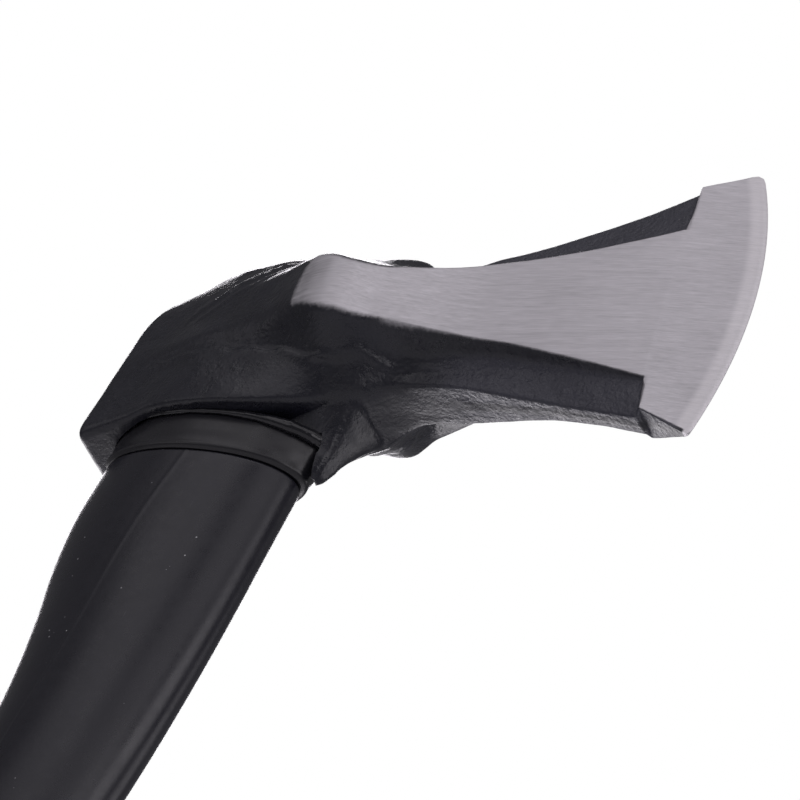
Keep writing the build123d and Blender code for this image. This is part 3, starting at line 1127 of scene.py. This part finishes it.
def moulded_look(name, dark, light, rough, grit=0.4, specks=0.0):
    """Moulded plastic or rubber: mottled, finely pitted, with a few pale scuffs."""
    look = Look(name)
    colour = look.blend(look.noise(80, 3, 0.5), dark, light)
    if specks:
        cell = look.ramp(look.cells(330), 0.05, 0.09, 1.0, 0.0)
        rare = look.ramp(look.noise(60, 3, 0.6), 0.585, 0.62)
        speck = look.math("MULTIPLY", look.math("MULTIPLY", cell, rare), specks)
        colour = look.blend(speck, colour, SPECK_GREY)
        scratches = look.noise(1.0, 3, 0.7, look.stretch((700, 700, 45)))
        scuff = look.ramp(scratches, 0.70, 0.80, 0.0, 0.10)
        colour = look.blend(scuff, colour, SCUFF_GREY)
    look.set("Base Color", colour)
    streaks = look.noise(1.0, 3, 0.6, look.stretch((90, 90, 12)))
    half_streaks = look.math("MULTIPLY", streaks, 0.5)
    rougher = look.math("MULTIPLY_ADD", look.noise(300, 3, 0.6), 0.5, half_streaks)
    look.set("Roughness", look.ramp(rougher, 0.3, 0.7, rough - 0.05, rough + 0.06))
    look.set("Normal", look.bump(look.noise(700, 3, 0.55), grit, 0.00006))
    return look.material


def fibre_look():
    """Cut glass fibre: pale yellow-green with fine strands along the rod."""
    look = Look("fibreglass")
    strands = look.noise(1.0, 4, 0.7, look.stretch((900, 900, 14)))
    dots = look.cells(1500)
    tone = look.math("MULTIPLY_ADD", look.math("SUBTRACT", dots, 0.4), 0.5, strands)
    look.set("Base Color", look.blend(tone, FIBRE_DARK, FIBRE_LIGHT))
    look.set("Roughness", look.ramp(strands, 0.3, 0.7, 0.35, 0.55))
    look.set("Normal", look.bump(strands, 0.4, 0.00008))
    return look.material


def glossy_look(name, dark, light, rough, wave):
    """Cured resin: glossy, gently rippled."""
    look = Look(name)
    look.set("Base Color", look.blend(look.noise(140, 3, 0.6), dark, light))
    look.set("Roughness", look.ramp(look.noise(220, 3, 0.6), 0.3, 0.7, rough, rough + 0.10))
    look.set("Normal", look.bump(look.noise(190, 3, 0.5), wave, 0.0003))
    return look.material


def dress(piece, material, node):
    """Gives a new piece its material, shading and body, and hides the CAD node it replaces."""
    piece.data.materials.clear()
    piece.data.materials.append(material)
    shade(piece, PIECE_SHARP)
    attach(piece, "root")
    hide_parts(node)


jacket_black = moulded_look(
    "jacket", (0.0075, 0.0073, 0.0125, 1), (0.011, 0.0108, 0.0175, 1), rough=0.30, specks=0.8
)
collar_black = moulded_look(
    "collar", (0.008, 0.008, 0.010, 1), (0.015, 0.0145, 0.019, 1), rough=0.30, grit=0.15, specks=0.4
)
grip_black = moulded_look(
    "grip_rubber", (0.012, 0.012, 0.013, 1), (0.024, 0.024, 0.026, 1), rough=0.62, grit=0.9
)
cap_black = moulded_look(
    "cap_rubber", (0.014, 0.014, 0.015, 1), (0.026, 0.026, 0.028, 1), rough=0.55, grit=0.8
)
resin = glossy_look(
    "epoxy", (0.012, 0.012, 0.014, 1), (0.035, 0.034, 0.036, 1), rough=0.16, wave=0.5
)
glue_look = glossy_look(
    "adhesive", (0.006, 0.006, 0.008, 1), (0.016, 0.016, 0.020, 1), rough=0.06, wave=0.6
)

dress(build_jacket(), jacket_black, "handle_jacket")
dress(build_collar(), collar_black, "collar_band")
dress(build_glue(), glue_look, "adhesive_bead")
dress(build_grip(), grip_black, "grip_sleeve")
dress(build_cap(), cap_black, "butt_cap")

for node, slot_name, material in (
    ("eye_epoxy", "epoxy", resin),
    ("fibreglass_core", "fibreglass", fibre_look()),
):
    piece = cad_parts[node]
    piece.data.materials.clear()
    piece.data.materials.append(material)

# --- stage
scene = bpy.context.scene
FLOOR_RADIUS = 1.1
FLOOR_SIDES = 128
FLOOR_BELOW = 0.0005  # clear of the cap's underside
FLOOR_GREY = (0.62, 0.62, 0.63, 1)
FILL_COLOUR = (0.97, 0.95, 1.0, 1)
FILL_STRENGTH = 0.14
floor_mesh = bpy.data.meshes.new("floor")
rim = [2 * math.pi * k / FLOOR_SIDES for k in range(FLOOR_SIDES)]
floor_mesh.from_pydata(
    [(FLOOR_RADIUS * math.cos(turn), FLOOR_RADIUS * math.sin(turn), 0) for turn in rim],
    [],
    [tuple(range(FLOOR_SIDES))],
)
floor = bpy.data.objects.new("floor", floor_mesh)
floor.location.z = cap_low.z - FLOOR_BELOW
scene.collection.objects.link(floor)
floor_look = Look("floor")
floor_look.set("Base Color", FLOOR_GREY)
floor_look.set("Roughness", 0.7)
floor_mesh.materials.append(floor_look.material)

scene.view_settings.view_transform = "Standard"
world = bpy.data.worlds.new("studio")
world.use_nodes = True
scene.world = world
tree = world.node_tree
fill = tree.nodes["Background"]
fill.inputs["Color"].default_value = FILL_COLOUR
fill.inputs["Strength"].default_value = FILL_STRENGTH
backdrop = tree.nodes.new("ShaderNodeBackground")
backdrop.inputs["Color"].default_value = (1, 1, 1, 1)
ray = tree.nodes.new("ShaderNodeLightPath")
either = tree.nodes.new("ShaderNodeMixShader")
tree.links.new(ray.outputs["Is Camera Ray"], either.inputs[0])
tree.links.new(fill.outputs[0], either.inputs[1])
tree.links.new(backdrop.outputs[0], either.inputs[2])
tree.links.new(either.outputs[0], tree.nodes["World Output"].inputs["Surface"])

# Round soft boxes about the head: direction from it, and watts for one 1.5 m wide
# at 2.5 m.  The low ones stand nearer, at the same apparent size, to clear the floor.
SOFTBOXES = (
    ((0.04, -0.48, 0.88), 4.8), ((0.58, -0.37, 0.72), 3.0), ((-0.36, -0.69, 0.62), 3.4),
    ((0.37, -0.80, 0.48), 3.7), ((0.92, -0.20, 0.32), 9.5), ((-0.13, -0.97, 0.22), 3.6),
    ((0.75, 0.63, 0.18), 6.8), ((0.71, -0.70, 0.07), 7.5), ((-0.81, 0.57, -0.12), 17.1),
    ((-0.36, 0.86, -0.38), 17.0), ((0.13, 0.77, -0.62), 3.6), ((-0.64, -0.77, 0.02), 2.4),
    ((-0.60, 0.54, 0.59), 34.0),
)
SOFTBOX_REACH = 2.5
SOFTBOX_WIDTH = 1.5
SOFTBOX_COLOUR = (0.985, 0.95, 1.0)
LOW_BOX = -0.3  # directions lower than this are the low ones
LOW_SHARE = 0.4  # their distance and size against the others'
LIGHT_CENTRE = Vector((0.043, 0.005, (COLLAR_Z + 36) * MM))
for number, (direction, watts) in enumerate(SOFTBOXES):
    toward = Vector(direction)
    nearer = LOW_SHARE if toward.z < LOW_BOX else 1.0
    data = bpy.data.lights.new(f"softbox_{number}", "AREA")
    data.shape = "DISK"
    data.size = SOFTBOX_WIDTH * nearer
    data.energy = watts * nearer ** 2
    data.color = SOFTBOX_COLOUR
    light = bpy.data.objects.new(f"softbox_{number}", data)
    light.location = LIGHT_CENTRE + toward * SOFTBOX_REACH * nearer
    light.rotation_mode = "QUATERNION"
    light.rotation_quaternion = toward.to_track_quat("Z", "Y")
    light.visible_camera = False
    scene.collection.objects.link(light)

# --- camera
CAMERA_PLACE = Vector((553.355, -550.869, COLLAR_Z - 500.148)) * MM
CAMERA_RIGHT = Vector((0.83402, 0.38045, 0.39959))
CAMERA_DOWN = Vector((0.01961, 0.70333, -0.71059))
CAMERA_LENS = 157.67
SENSOR_WIDTH = 36.0
camera_data = bpy.data.cameras.new("camera")
camera_data.lens = CAMERA_LENS
camera_data.sensor_width = SENSOR_WIDTH
camera_data.clip_start = 0.05
camera_data.clip_end = 50.0
camera = bpy.data.objects.new("camera", camera_data)
scene.collection.objects.link(camera)
camera_up = -CAMERA_DOWN
camera_back = CAMERA_RIGHT.cross(camera_up)
camera.matrix_world = Matrix.Translation(CAMERA_PLACE) @ Matrix(
    (CAMERA_RIGHT, camera_up, camera_back)
).transposed().to_4x4()
scene.camera = camera
